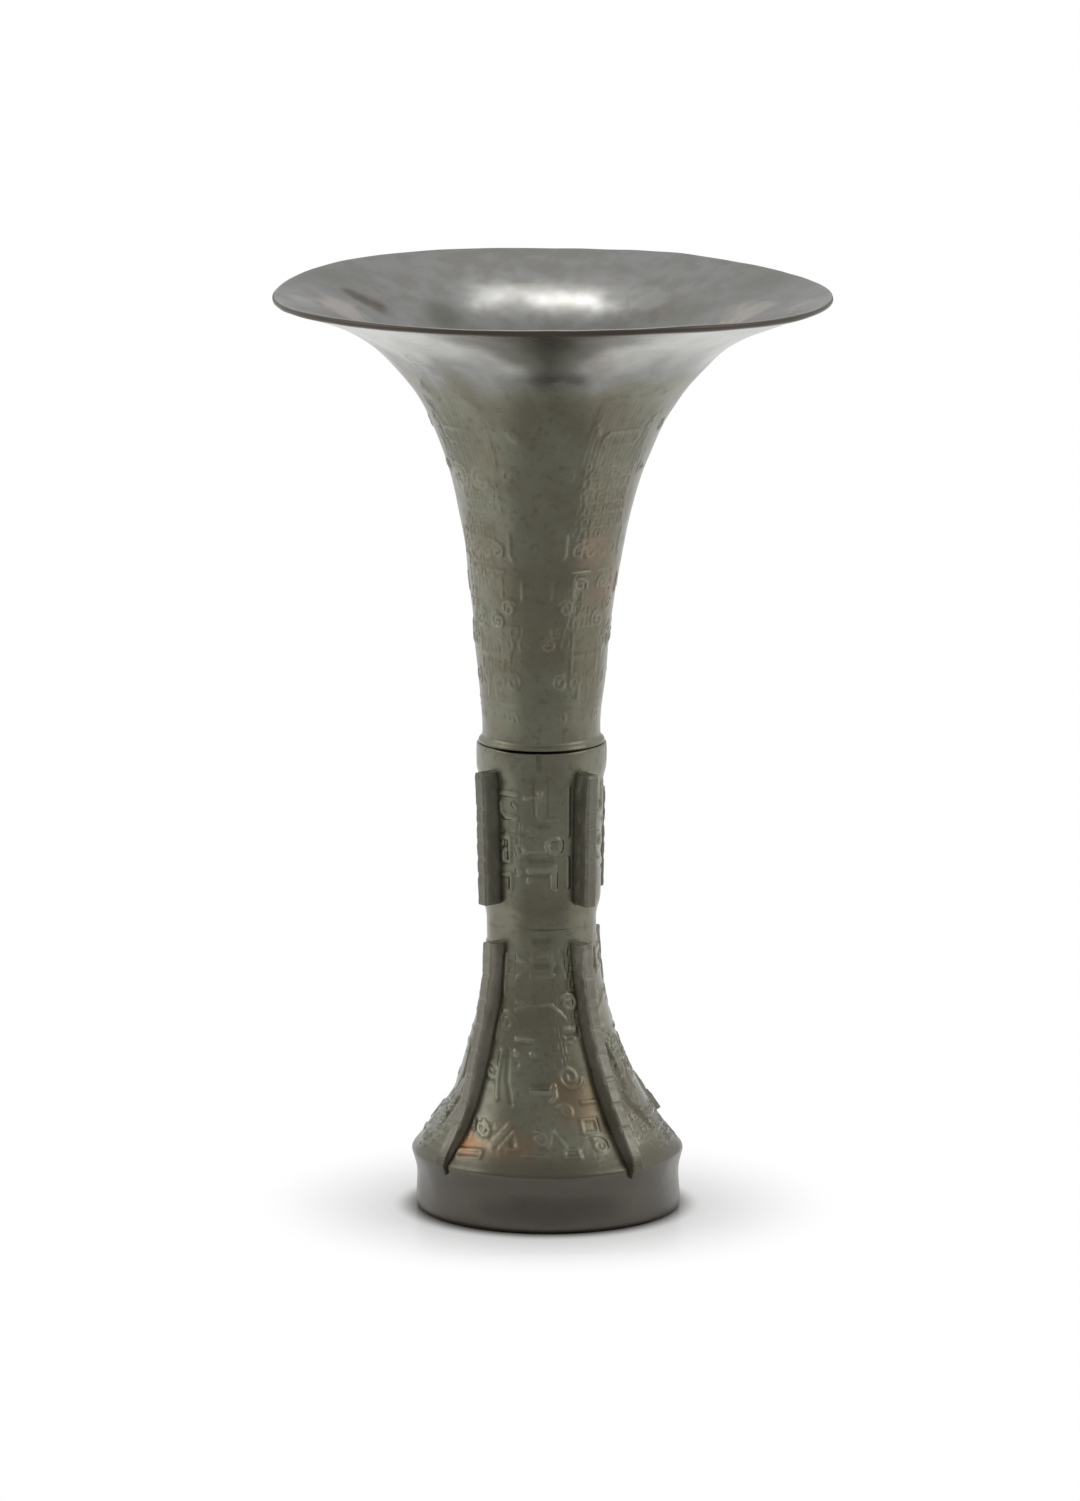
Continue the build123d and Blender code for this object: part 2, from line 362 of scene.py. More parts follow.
# Lamps, in metres: place, width, depth and radiance
LAMP_TARGET = (0.0, 0.0, 0.15)
SOFTBOXES = {
    "softbox_left": ((-1.7, -0.3, 1.2), 1.0, 1.0, 1.6),
    "softbox_right": ((1.7, -0.3, 1.2), 1.0, 1.0, 1.6),
    "softbox_top_left": ((-0.3, 0.43, 1.74), 0.3, 0.2, 5.0),
    "softbox_top_middle": ((-0.05, 0.37, 1.74), 0.3, 0.2, 7.5),
    "softbox_top_right": ((0.28, 0.54, 1.74), 0.36, 0.22, 3.8),
}


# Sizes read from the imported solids


def flange_angle(node):
    """Angle round the axis at which a flange stands."""
    low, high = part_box(node)
    middle = (low + high) / 2
    return math.degrees(math.atan2(middle.y, middle.x))


def thickness_of(node):
    """Thickness of a flange, across its own plane."""
    turn = math.radians(flange_angle(node))
    across = np.array([-math.sin(turn), math.cos(turn)])
    corners = np.array([v.co[:2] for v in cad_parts[node].data.vertices]) @ across
    return (corners.max() - corners.min()) / MM


def place_of(node):
    """Neck, middle or foot: the place that a node's name starts with."""
    return node.split("_")[0]


flange_names = {
    place: [f"{place}_flange_{number}" for number in range(1, 5)] for place in ("middle", "foot")
}
flange_turn = flange_angle(flange_names["middle"][0])
mask_turn = flange_angle(flange_names["middle"][3])
flange_thickness = {place: thickness_of(names[0]) for place, names in flange_names.items()}
rim_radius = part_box("neck")[1].x / MM
outside_from = {
    "neck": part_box("cup_floor")[1].x / MM,
    "middle_section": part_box("cup_floor")[1].x / MM,
    "foot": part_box("foot_joint_solder")[1].x / MM,
}

# Heights and radii of each casting's outside, filled in as the castings are made
body_line = {}


def smooth_step(value, low, high):
    """0 below low, 1 above high and a smooth ramp between."""
    share = np.clip((value - low) / (high - low), 0.0, 1.0)
    return share * share * (3 - 2 * share)


def at_least(least, share):
    """Share squeezed into the range from least to 1."""
    return least + (1 - least) * share


def mottle(points, field):
    """Smooth random field, mostly between -1 and 1, with patches of the field's size."""
    patch, seed = FIELDS[field]
    draw = np.random.default_rng(SEED + seed)
    waves = draw.normal(size=(MOTTLE_WAVES, 3)) * math.pi / patch
    starts = draw.uniform(0, 2 * math.pi, MOTTLE_WAVES)
    return np.sin(points @ waves.T + starts).sum(axis=1) / math.sqrt(MOTTLE_WAVES / 2)


def unworn(points, field):
    """Share of the relief that is left, by a random field."""
    return smooth_step(mottle(points, field), *WEAR_RANGES[field])


def settle(points):
    """Moves points of the true shape to where the bent vessel has them."""
    turn = math.radians(VIEW_AZIMUTH)
    sideways = np.array([math.cos(turn), math.sin(turn), 0.0])
    frontward = np.array([math.sin(turn), -math.cos(turn), 0.0])
    height = points[:, 2]
    radius = np.hypot(points[:, 0], points[:, 1])
    to_right = (points @ sideways) / np.maximum(radius, 1.0)
    to_front = (points @ frontward) / np.maximum(radius, 1.0)
    to_left = np.clip(-to_right, 0, 1)
    drop = RIM_TILT * to_right * smooth_step(height, *RIM_TILT_HEIGHTS)
    on_right = smooth_step(to_right, *RIGHT_DROOP_TURN)
    drop += RIGHT_DROOP * on_right * smooth_step(radius, *RIGHT_DROOP_RADII)
    on_left = LEFT_DROOP * to_left ** LEFT_DROOP_SHARPNESS + LEFT_TWIST * to_left * to_front
    drop += on_left * smooth_step(radius, LEFT_DROOP_START, rim_radius)
    bend = BEND_SHIFT + BEND_RATE * (height - BEND_CENTRE) ** 2
    bend += DENT * to_left ** 2 * np.exp(-((height - DENT_HEIGHT) / DENT_REACH) ** 2)
    settled = points + bend[:, None] * sideways
    settled[:, 2] -= drop
    return settled


# Outlines of the turned pieces


def cut_outline(node):
    """Closed outline of a turned CAD node, cut along its axis: radius and height in millimetres."""
    cut = bmesh.new()
    cut.from_mesh(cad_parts[node].data)
    bmesh.ops.remove_doubles(cut, verts=cut.verts, dist=WELD)
    everything = cut.verts[:] + cut.edges[:] + cut.faces[:]
    found = bmesh.ops.bisect_plane(cut, geom=everything, dist=WELD, plane_co=(0, 0, 0), plane_no=(0, 1, 0))
    edges = [e for e in found["geom_cut"] if isinstance(e, bmesh.types.BMEdge)]
    edges = [e for e in edges if all(v.co.x > -WELD for v in e.verts)]
    beside = {}
    for edge in edges:
        first, second = edge.verts
        beside.setdefault(first, []).append(second)
        beside.setdefault(second, []).append(first)
    start = max(beside, key=lambda v: v.co.z)
    loop = [start]
    before, here = None, start
    while True:
        onward = next((v for v in beside[here] if v is not before and v is not start), None)
        if onward is None:
            break
        loop.append(onward)
        before, here = here, onward
    outline = np.array([(v.co.x, v.co.z) for v in loop]) / MM
    cut.free()
    following = np.roll(outline, -1, axis=0)
    area = (outline[:, 0] * following[:, 1] - following[:, 0] * outline[:, 1]).sum()
    return outline if area > 0 else outline[::-1]


def smooth_run(points):
    """Points close together on a smooth curve through a run of outline points."""
    chord = np.linalg.norm(np.diff(points, axis=0), axis=1)
    place = np.concatenate([[0.0], np.cumsum(chord)])
    if len(points) < 3:
        slopes = np.repeat(np.diff(points, axis=0) / chord[:, None], 2, axis=0)
    else:
        slopes = np.gradient(points, place, axis=0, edge_order=2)
    fine = np.linspace(0, place[-1], max(2, math.ceil(place[-1] / FINE_STEP) + 1))
    left = np.clip(np.searchsorted(place, fine, side="right") - 1, 0, len(place) - 2)
    gap = chord[left]
    share = (fine - place[left]) / gap
    square, cube = share ** 2, share ** 3
    weights = (
        2 * cube - 3 * square + 1,
        (cube - 2 * square + share) * gap,
        3 * square - 2 * cube,
        (cube - square) * gap,
    )
    parts = (points[left], slopes[left], points[left + 1], slopes[left + 1])
    return sum(weight[:, None] * part for weight, part in zip(weights, parts))


def row_step(node, run, outward):
    """Distance between rows: close where the ornament is, wide inside."""
    step = np.full(len(run), HIDDEN_STEP)
    if node in ORNAMENT_STEP:
        radius, height = run.T
        outside = (outward[:, 0] > ORNAMENT_FACING) & (radius > outside_from[node])
        step[outside] = ORNAMENT_STEP[node]
        step[height > ORNAMENT_TOP] = LIP_STEP
    turning = np.linalg.norm(np.diff(outward, axis=0, prepend=outward[:1]), axis=1) / FINE_STEP
    return np.minimum(step, TURN_PER_ROW / np.maximum(turning, LEAST_TURNING))


def outline_rows(node):
    """Rows of a turned piece's mesh: radius, height, and how far the row faces outwards and up."""
    outline = cut_outline(node)
    into = outline - np.roll(outline, 1, axis=0)
    onward = np.roll(outline, -1, axis=0) - outline
    turns = np.arctan2(into[:, 0] * onward[:, 1] - into[:, 1] * onward[:, 0], (into * onward).sum(axis=1))
    corners = np.nonzero(np.abs(np.degrees(turns)) > CORNER_TURN)[0]
    closed = np.concatenate([outline, outline])
    rows = []
    for first, last in zip(corners, np.append(corners[1:], corners[0] + len(outline))):
        run = smooth_run(closed[first:last + 1])
        along = np.gradient(run, axis=0)
        along /= np.linalg.norm(along, axis=1)[:, None]
        outward = np.stack([along[:, 1], -along[:, 0]], axis=1)
        length = np.linalg.norm(np.diff(run, axis=0), axis=1)
        step = row_step(node, run, outward)
        count = np.concatenate([[0.0], np.cumsum(length / step[1:])])
        picked = np.linspace(0, count[-1], max(2, math.ceil(count[-1]) + 1))[:-1]
        columns = [np.interp(picked, count, values) for values in (*run.T, *outward.T)]
        rows.append(np.stack(columns, axis=1))
    return np.concatenate(rows)


# Relief, drawn on a casting's skin laid flat. Across is the arc from a panel's axis, up follows the outline


class Skin:
    """Outside of one casting, laid flat."""

    def __init__(self, rows, outside, angles):
        self.radius, self.height = rows[:, 0], rows[:, 1]
        gaps = np.linalg.norm(np.diff(rows[:, :2], axis=0), axis=1)
        self.along = np.concatenate([[0.0], np.cumsum(gaps)])
        self.angles = angles
        shown = np.nonzero(outside)[0]
        order = shown[np.argsort(self.height[shown])]
        self.by_height = [values[order] for values in (self.height, self.radius, self.along)]

    def turned(self, axis, period):
        """Degrees from the nearest panel axis, for every column."""
        return (self.angles - axis + period / 2) % period - period / 2

    def fold(self, axis, period):
        """The same without its sign."""
        return np.abs(self.turned(axis, period))

    def places(self, folded):
        """Across and up of every vertex, for panels that mirror about their axis."""
        across = np.radians(folded)[None, :] * self.radius[:, None]
        up = np.broadcast_to(self.along[:, None], across.shape)
        return np.stack([across.ravel(), up.ravel()], axis=1)

    def spots(self, points):
        """Across and up of drawn points, given as degrees from the panel's axis and height."""
        degrees, height = np.array(points, float).T
        sorted_height, radius, along = self.by_height
        across = np.radians(degrees) * np.interp(height, sorted_height, radius)
        return np.stack([across, np.interp(height, sorted_height, along)], axis=1)


def bar(place, path, width):
    """1 on a bar with round ends along a path, 0 beside it and a soft edge between."""
    reach = width / 2 + STROKE_EDGE
    low, high = path.min(axis=0) - reach, path.max(axis=0) + reach
    near = ((place > low) & (place < high)).all(axis=1)
    close = place[near]
    gap = np.full(len(close), reach)
    for start, end in zip(path, path[1:]):
        way = end - start
        share = np.clip((close - start) @ way / max(way @ way, LEAST_SQUARE), 0, 1)
        gap = np.minimum(gap, np.linalg.norm(close - start - share[:, None] * way, axis=1))
    raised = np.zeros(len(place))
    raised[near] = 1 - smooth_step(gap, width / 2 - STROKE_EDGE / 2, width / 2 + STROKE_EDGE / 2)
    return raised


def curl(degrees, height, size, turns, start):
    """Spiral that winds inwards: angle and height of its centre, and its points as offsets from there."""
    steps = np.linspace(0, 1, max(CURL_LEAST_POINTS, round(abs(turns) * CURL_POINTS)))
    angle = np.radians(start) + 2 * math.pi * turns * steps
    reach = size / 2 * (1 - CURL_WINDING * steps)
    return degrees, height, np.stack([reach * np.cos(angle), reach * np.sin(angle)], axis=1)


def leiwen(place, size):
    """Field of square spirals, from 0 to 1."""
    tile = (place / size) % 1.0 - 0.5
    turn = np.arctan2(tile[:, 1], tile[:, 0]) / (2 * math.pi)
    reach = np.abs(tile).max(axis=1) * 2
    wave = (reach * LEIWEN_TURNS + turn) % 1.0
    return smooth_step(np.abs(wave - 0.5), *LEIWEN_STROKE)


# Blades of the neck, drawn on one half from the blade's axis: angles and heights of a stroke, and its width
blade_hatch = [
    ([(start, HATCH_BOTTOM), (HATCH_LEAN * start, HATCH_TOP - HATCH_TOP_FALL * start)], HATCH_WIDTH)
    for start in np.arange(*HATCH_STARTS)
]
blade_bars = [
    ([(0, 232.8), (9, 232.8), (11.5, 230.7), (9, 228.6), (3, 228.6)], 1.0),
    ([(17, 236), (15, 233)], 1.0),
    ([(0, 200.0), (13, 200.0)], 1.0),
    ([(25, 202), (25, 196), (27.5, 194.2)], 1.0),
    ([(4, 190.8), (19, 190.8)], 0.9),
    ([(16.5, 189), (16.5, 183)], 1.0),
    ([(34, 188), (34, 183)], 1.0),
    ([(2, 165.5), (21, 165.5)], 1.0),
    ([(4, 151.5), (33, 151.5)], 0.8),
    ([(4, 149.3), (33, 149.3)], 0.8),
    ([(5.5, 158), (5.5, 153.5)], 1.0),
    ([(14, 172), (14, 160.5)], 0.9),
]
blade_curls = [
    curl(9, 218, 8.0, 1.6, 60),
    curl(6, 196.5, 5.0, 1.3, 20),
    curl(15, 196.8, 5.0, -1.3, 160),
    curl(28, 219.5, 4.6, 1.2, 0),
    curl(34, 232, 4.2, 1.2, 90),
    curl(11, 187, 4.6, -1.4, 200),
    curl(22, 180, 5.0, 1.4, 30),
    curl(11, 176, 5.4, 1.5, 100),
    curl(27, 173, 4.8, -1.4, 20),
    curl(20, 169.5, 5.0, 1.3, 180),
    curl(36, 169, 4.6, 1.3, 45),
    curl(10, 158, 5.6, 1.4, 70),
    curl(24, 158, 5.2, -1.4, 110),
    curl(21, 147, 4.0, 1.1, 0),
]
blade_edge = [(29, 142), (28, 160), (27, 190), (24, 215), (18, 238), (8, 252), (0, 259)]

# Half masks of the middle section, drawn from the flange that is the mask's nose
mask_bars = [
    ([(41, 126), (41, 117.6), (25, 117.6)], 1.5),
    ([(81, 125), (63, 125)], 1.4),
    ([(81, 122), (80, 119.5), (75, 118.3), (64, 118)], 1.5),
    ([(64, 121.2), (67, 122.2)], 1.2),
    ([(54.5, 124.2), (44.5, 124.2)], 1.2),
    ([(52, 114.6), (48, 115.5), (43, 114.5), (48, 113.5), (52, 114.6)], 1.0),
    ([(36, 108.3), (51, 108.3), (61, 106.9), (64, 109.6), (58, 110.2), (55, 108.9)], 1.2),
    ([(51, 102.8), (26, 102.8)], 1.7),
    ([(27.5, 103.4), (27.5, 97.6)], 2.0),
    ([(61.6, 102.5), (61.4, 102.1)], 2.2),
    ([(51.2, 99.9), (50.8, 99.7)], 1.7),
    ([(14, 127), (14, 113)], 1.2),
    ([(14, 106), (14, 98)], 1.2),
    ([(81, 112), (71, 112), (71, 105), (79, 105), (79, 108.5), (75, 108.5)], 1.2),
    ([(80, 101), (70, 101), (70, 97.5)], 1.2),
]
mask_hollows = [
    ([(42, 115.6), (32, 115.6)], 1.1),
    ([(34, 127), (34, 119.4)], 1.0),
    ([(46.5, 128.4), (46.5, 119)], 1.0),
    ([(51, 105.4), (29, 105.4)], 1.3),
    ([(53, 100.9), (33, 100.9)], 1.0),
    ([(42, 136.4), (42, 133.2)], 2.0),
]
mask_eye = (27.5, 110.0)

# Half masks of the foot
foot_bars = [
    ([(50.3, 77), (30, 77.3), (30, 71.1), (50.3, 71.1), (50.3, 77)], 1.1),
    ([(51, 74.2), (66, 76.6)], 1.3),
    ([(51, 74.2), (66, 70.4)], 1.3),
    ([(22.5, 79), (20, 75), (16, 71)], 1.3),
    ([(65, 61.3), (54, 63), (32, 63.2), (18, 58.5)], 1.0),
    ([(64.5, 64), (58, 63.8)], 1.2),
    ([(22, 55.9), (12.5, 55.9)], 1.4),
    ([(62, 53.3), (48.7, 53.3)], 1.2),
    ([(61, 49.5), (60.6, 49.3)], 1.9),
    ([(48.2, 49.2), (47.8, 49.0)], 1.8),
    ([(48, 39.0), (35.5, 39.0), (33.5, 40.8)], 1.3),
    ([(33.5, 41), (33, 38), (36, 36.6)], 1.2),
    ([(73.5, 49.5), (73.5, 42), (71, 36.5)], 1.3),
    ([(17, 36), (6.5, 36)], 1.3),
    ([(20, 31.5), (11, 31.5), (11, 28), (20, 28), (20, 31.5)], 1.0),
    ([(59.5, 30), (67.5, 24.3)], 1.7),
    ([(62.5, 24), (56.5, 28.6), (52.5, 24), (62.5, 24)], 1.0),
    ([(30, 24.5), (36, 29), (39, 24.5)], 1.0),
    ([(71.5, 21), (85, 20.4), (85, 22.4), (71.5, 23), (71.5, 21)], 0.9),
    ([(24, 22), (31, 22), (31, 24), (24, 24), (24, 22)], 0.9),
    ([(40, 22.4), (50, 22.4)], 1.2),
    ([(79, 77), (79, 66)], 1.2),
    ([(81, 60), (81, 53)], 1.2),
]
foot_hollows = [
    ([(49.5, 81.6), (31.5, 81.6)], 1.5),
    ([(47.5, 74.2), (33.5, 74.4)], 2.0),
    ([(24, 74.5), (26, 72.5)], 1.4),
    ([(20, 54.2), (9, 54.2)], 1.0),
    ([(58, 52.1), (48.7, 52.1)], 1.0),
    ([(38, 49.4), (38.2, 49.2)], 1.3),
    ([(38, 46.7), (38.2, 46.5)], 1.2),
    ([(60, 46.7), (60.2, 46.5)], 1.3),
    ([(48, 40.9), (37, 40.9)], 1.5),
    ([(68, 50), (66, 42), (61, 35.7)], 1.3),
    ([(57, 25.4), (56.8, 25.2)], 1.8),
]
foot_side_hollows = [
    ([(13, 52), (19, 44), (22, 38)], 2.4),
    ([(17, 36), (22, 31), (27, 27)], 2.4),
    ([(68, 49), (66, 40)], 2.0),
    ([(72, 34), (70, 27)], 2.0),
]
foot_curls = [
    curl(28, 34, 4.6, 1.4, 30),
    curl(22.5, 43, 7.5, 1.5, 200),
    curl(80, 43.5, 6.0, 1.4, 20),
    curl(42.5, 26.6, 5.0, 1.2, 80),
    curl(76, 28.5, 5.6, 1.4, 120),
    curl(13, 24.5, 5.2, 1.4, 60),
    curl(72, 58, 6.0, -1.5, 160),
    curl(15, 63.5, 5.4, 1.5, 40),
]

# Strokes, hollows, hollows on the sides alone and curls of each casting's masks
masks = {
    "middle_section": (mask_bars, mask_hollows, (), ()),
    "foot": (foot_bars, foot_hollows, foot_side_hollows, foot_curls),
}


def drawn(skin, place, bars, curls=(), curl_width=CURL_WIDTH):
    """Greatest rise of a set of bars and curls at every vertex, from 0 to 1."""
    rise = np.zeros(len(place))
    for points, width in bars:
        rise = np.maximum(rise, bar(place, skin.spots(points), width))
    for degrees, height, offsets in curls:
        rise = np.maximum(rise, bar(place, skin.spots([(degrees, height)]) + offsets, curl_width))
    return rise


def eye(skin, place):
    """Round eye of a mask: a raised ring round a hollow pupil."""
    gap = np.linalg.norm(place - skin.spots([mask_eye])[0], axis=1)
    ring = 1 - smooth_step(np.abs(gap - EYE_RADIUS), *EYE_RING_EDGE)
    pupil = 1 - smooth_step(gap, *PUPIL_EDGE)
    return EYE_RING_RISE * ring - PUPIL_FALL * pupil


def neck_relief(skin, points):
    """Rise of the neck's skin: four blades filled with curls, worn faint, most of all towards the collar."""
    place = skin.places(skin.fold(flange_turn, PANEL_TURN))
    height = np.repeat(skin.height, len(skin.angles))
    strokes = drawn(skin, place, blade_bars, blade_curls, NECK_CURL_WIDTH)
    hatch = drawn(skin, place, blade_hatch) * (1 - strokes)
    edge_across, edge_up = skin.spots(blade_edge).T
    half_width = np.interp(place[:, 1], edge_up, edge_across, left=0, right=0)
    inside = smooth_step(half_width - place[:, 0], 0.0, BLADE_FADE)
    in_tip = smooth_step(height, *TIP_START) * (1 - smooth_step(height, *TIP_END)) * inside
    ground = leiwen(place, NECK_LEIWEN_TILE) * inside * (1 - strokes) * (1 - in_tip)
    above_wear = smooth_step(height, *NECK_WORN_BELOW)
    kept = at_least(NECK_KEPT, unworn(points, "neck_strokes")) * at_least(NECK_BOTTOM_KEPT, above_wear)
    ground_kept = unworn(points, "neck_ground") * above_wear
    return (
        NECK_STROKE_HEIGHT * kept * strokes
        + NECK_LEIWEN_HEIGHT * ground * ground_kept
        + HATCH_HEIGHT * hatch
        - HATCH_DEPTH * in_tip * (1 - hatch)
    )


def mask_relief(skin, points, node):
    """Rise of the skin of the middle section or the foot: half masks that mirror about the flanges."""
    bars, hollows, side_hollows, curls = masks[node]
    low, high = PANEL_HEIGHTS[node]
    place = skin.places(skin.fold(mask_turn, MASK_TURN))
    raised = drawn(skin, place, bars, curls)
    sunk = drawn(skin, place, hollows)
    on_side = np.tile(skin.turned(mask_turn, MASK_TURN) > 0, len(skin.height))
    sunk = np.maximum(sunk, SIDE_DEPTH * on_side * drawn(skin, place, side_hollows))
    height = np.repeat(skin.height, len(skin.angles))
    panel = smooth_step(height, low, low + PANEL_FADE) * (1 - smooth_step(height, high - PANEL_FADE, high))
    ground = leiwen(place, LEIWEN_TILE) * panel * (1 - raised) * (1 - np.minimum(sunk, 1))
    kept = at_least(MASK_KEPT, unworn(points, "mask_strokes"))
    ground_kept = unworn(points, "mask_ground") * np.where(on_side, SIDE_DEPTH, 1.0)
    return (
        STROKE_HEIGHT * raised * kept
        - RECESS_DEPTH * sunk
        + LEIWEN_HEIGHT * np.clip(ground, 0, 1) * ground_kept
    )


def crevices(skin, node):
    """Sharp hollows down both sides of every flange of the middle or the foot."""
    low, high = (corner.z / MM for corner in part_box(flange_names[node][0]))
    across = np.radians(skin.fold(flange_turn, PANEL_TURN))[None, :] * skin.radius[:, None]
    gap = np.abs(across - flange_thickness[node] / 2) / CREVICE_WIDTH
    above = smooth_step(skin.height, low - CREVICE_RUN_OUT, low)
    within = above * (1 - smooth_step(skin.height, high, high + CREVICE_RUN_OUT))
    return -CREVICE_DEPTH * (np.exp(-gap ** 2) * within[:, None]).ravel()


def casting_relief(skin, points, node):
    """Rise of a casting's skin, from its ornament, its crevices and the wear of its edges."""
    if node == "neck":
        return neck_relief(skin, points)
    relief = mask_relief(skin, points, node)
    if node == "middle_section":
        relief += STROKE_HEIGHT * eye(skin, skin.places(skin.fold(mask_turn, MASK_TURN)))
        relief += crevices(skin, "middle")
        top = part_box(node)[1].z / MM
        facing = np.tile(np.cos(2 * np.radians(skin.angles - FRONT_ANGLE)), len(skin.height))
        # Groove under the collar's top edge, deepest at front and back, whose lowered relief also paints
        # shade on the seam
        worn = COLLAR_GROOVE_AND_SHADE * smooth_step(facing, *COLLAR_SHADE_FACING)
        relief -= worn * smooth_step(points[:, 2], top - COLLAR_GROOVE_BAND, top)
    else:
        relief += crevices(skin, "foot")
        # Rounded base edge: its lowered relief darkens the colour there, a painted contact shade
        below = np.clip(BASE_ROUNDING - points[:, 2], 0, BASE_ROUNDING)
        relief -= BASE_ROUNDING - np.sqrt(BASE_ROUNDING ** 2 - below ** 2)
    return relief


# Meshes


def place_piece(name, mesh, node, material):
    """Object that stands for a CAD node."""
    piece = bpy.data.objects.new(name, mesh)
    bpy.context.scene.collection.objects.link(piece)
    mesh.materials.clear()
    mesh.materials.append(material)
    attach(piece, "root")
    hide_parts(node)


def mark(mesh, name, values):
    """Gives every vertex a number that the material reads."""
    mesh.attributes.new(name, "FLOAT", "POINT").data.foreach_set("value", values.astype(np.float32))


def grid_mesh(name, points, rows, columns):
    """Closed mesh from a grid of points that joins up both ways."""
    number = np.arange(rows * columns).reshape(rows, columns)
    down = np.roll(number, -1, axis=0)
    faces = np.stack([number, np.roll(number, -1, axis=1), np.roll(down, -1, axis=1), down], axis=-1)
    mesh = bpy.data.meshes.new(name)
    mesh.from_pydata((points * MM).tolist(), [], faces.reshape(-1, 4).tolist())
    mesh.shade_smooth()
    mesh.set_sharp_from_angle(angle=math.radians(CORNER_TURN))
    return mesh


def round_about(across, up, angles):
    """Grid of points or directions, from what each row has across and up."""
    way = np.stack([np.cos(np.radians(angles)), np.sin(np.radians(angles))], axis=1)
    level = across[:, None, None] * way[None]
    tall = np.broadcast_to(up[:, None, None], (len(up), len(angles), 1))
    return np.concatenate([level, tall], axis=2).reshape(-1, 3)


def turned_mesh(node, columns):
    """Mesh of a turned CAD node, with its relief, crevices and uneven skin."""
    rows = outline_rows(node)
    angles = np.arange(columns) * 360 / columns
    radius, height, out, rise = rows.T
    points = round_about(radius, height, angles)
    outward = round_about(out, rise, angles)
    relief = np.zeros(len(points))
    if node in outside_from:
        outside_rows = (out > OUTSIDE_FACING) & (radius > outside_from[node])
        outside = np.repeat(outside_rows, columns)
        skin = Skin(rows, outside_rows, angles)
        body_line[place_of(node)] = skin.by_height[:2]
        relief = casting_relief(skin, points, node) * outside
    uneven = SKIN_UNEVENNESS * mottle(points, "skin") * smooth_step(points[:, 2], *EVEN_BASE_HEIGHTS)
    bare = np.zeros(len(points))
    if node == "neck":
        bare_line = points[:, 2] + BARE_WANDER * mottle(points, "bare_edge")
        bare = np.where(outside, smooth_step(bare_line, *BARE_OUTSIDE), BARE_INSIDE)
        near_mouth = smooth_step(points[:, 2], *MOUTH_HEIGHTS)
        uneven *= np.where(outside, 1 - (1 - MOUTH_EVENNESS) * near_mouth, MOUTH_EVENNESS)
    moved = points + (relief + uneven)[:, None] * outward
    mesh = grid_mesh(node + "_cast", settle(moved), len(rows), columns)
    # The relief also carries painted shade at the base edge and the collar groove, which the material
    # darkens
    mark(mesh, "relief", relief)
    mark(mesh, "bare", bare)
    if node == "neck":
        from_rim = rim_radius - np.array(LIP_DARK)
        edge = smooth_step(np.hypot(points[:, 0], points[:, 1]), *from_rim)
        mark(mesh, "lip", edge * smooth_step(-outward[:, 2], *LIP_FACING))
    return mesh


def worn_flange(node, points):
    """Points of a flange, its notches part filled and its edge worn back, and their depth below the edge."""
    turn = math.radians(flange_angle(node))
    outward = np.array([math.cos(turn), math.sin(turn), 0.0])
    sideways = np.array([-math.sin(turn), math.cos(turn), 0.0])
    height = points[:, 2]
    stand = points @ outward - np.interp(height, *body_line[place_of(node)])
    levels = np.arange(height.min(), height.max() + NOTCH_SPAN, NOTCH_SPAN / LEVELS_PER_SPAN)
    edge = np.array([stand[np.abs(height - level) < NOTCH_SPAN].max() for level in levels])
    depth = np.interp(height, levels, edge) - stand
    filled = NOTCH_FILL * depth * (1 - smooth_step(depth, *NOTCH_FILL_DEPTH))
    share = np.interp(height, *zip(*flange_wear.get(node, WHOLE_FLANGE)))
    cleared = np.maximum(stand + filled + ROOT_COVER, 0.0)
    move = filled - (1 - share) * cleared
    narrowed = FLANGE_TAPER * np.clip(stand / edge.max(), 0, 1) * (points @ sideways)
    return points + move[:, None] * outward - narrowed[:, None] * sideways, depth - filled


def vertex_values(mesh, name):
    """Places or normals of a mesh's vertices."""
    values = np.empty(len(mesh.vertices) * 3)
    mesh.vertices.foreach_get(name, values)
    return values.reshape(-1, 3)


def set_places(mesh, points):
    """Moves a mesh's vertices to points in millimetres."""
    mesh.vertices.foreach_set("co", (points * MM).ravel())
    mesh.update()


def rounded_copy(node):
    """Even mesh of a flange's CAD solid, with its edges rounded."""
    turn = Matrix.Rotation(math.radians(flange_angle(node)), 4, "Z")
    shape = bmesh.new()
    shape.from_mesh(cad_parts[node].data)
    bmesh.ops.remove_doubles(shape, verts=shape.verts, dist=WELD)
    bmesh.ops.transform(shape, matrix=turn.inverted(), verts=shape.verts)
    sharp = bpy.data.meshes.new(node + "_sharp")
    shape.to_mesh(sharp)
    shape.free()
    worker = bpy.data.objects.new(node + "_worker", sharp)
    bpy.context.scene.collection.objects.link(worker)
    remesh = worker.modifiers.new("remesh", "REMESH")
    remesh.mode = "VOXEL"
    remesh.voxel_size = FLANGE_VOXEL * MM
    smooth = worker.modifiers.new("smooth", "SMOOTH")
    smooth.factor = FLANGE_SMOOTH_FACTOR
    smooth.iterations = FLANGE_SMOOTHING
    done = worker.evaluated_get(bpy.context.evaluated_depsgraph_get())
    mesh = bpy.data.meshes.new_from_object(done)
    mesh.name = node + "_cast"
    bpy.data.objects.remove(worker)
    bpy.data.meshes.remove(sharp)
    mesh.transform(turn)
    return mesh


def bulge(mesh, points, normals):
    """How far every vertex stands out from the middle of its neighbours."""
    edges = np.empty(len(mesh.edges) * 2, dtype=np.int64)
    mesh.edges.foreach_get("vertices", edges)
    first, second = edges.reshape(-1, 2).T
    around = np.zeros_like(points)
    np.add.at(around, first, points[second])
    np.add.at(around, second, points[first])
    neighbours = np.bincount(edges, minlength=len(points))
    return ((points - around / neighbours[:, None]) * normals).sum(axis=1)


